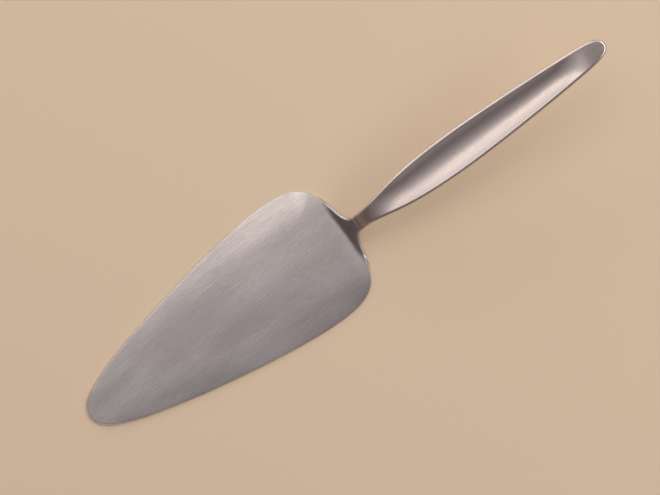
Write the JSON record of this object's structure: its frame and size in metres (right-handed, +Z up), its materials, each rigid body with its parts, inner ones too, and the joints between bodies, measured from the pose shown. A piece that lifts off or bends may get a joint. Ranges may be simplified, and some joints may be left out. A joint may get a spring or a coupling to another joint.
{
  "type": "cake server",
  "caption": "Steel cake server: a flat rounded triangular blade, cranked up at its heel and brazed to a long hollowed handle, for cutting, lifting and serving cake.",
  "frame": {"origin": "on the surface that the blade lies on, under the middle of the whole length", "axes": "+X from the blade's tip towards the end of the handle, +Y across the blade, +Z up"},
  "size_m": [0.2568, 0.058, 0.0341],
  "materials": {
    "blade_steel": "fine brushing along the length, satin",
    "handle_steel": "finer brushing along the length, semi-bright in the hollow",
    "braze_metal": "smoothed bead of brazing metal, slightly warmer than the steel"
  },
  "bodies": {
    "root": {"blade": "blade_steel", "handle": "handle_steel", "braze_seam": "braze_metal"}
  },
  "joints": []
}
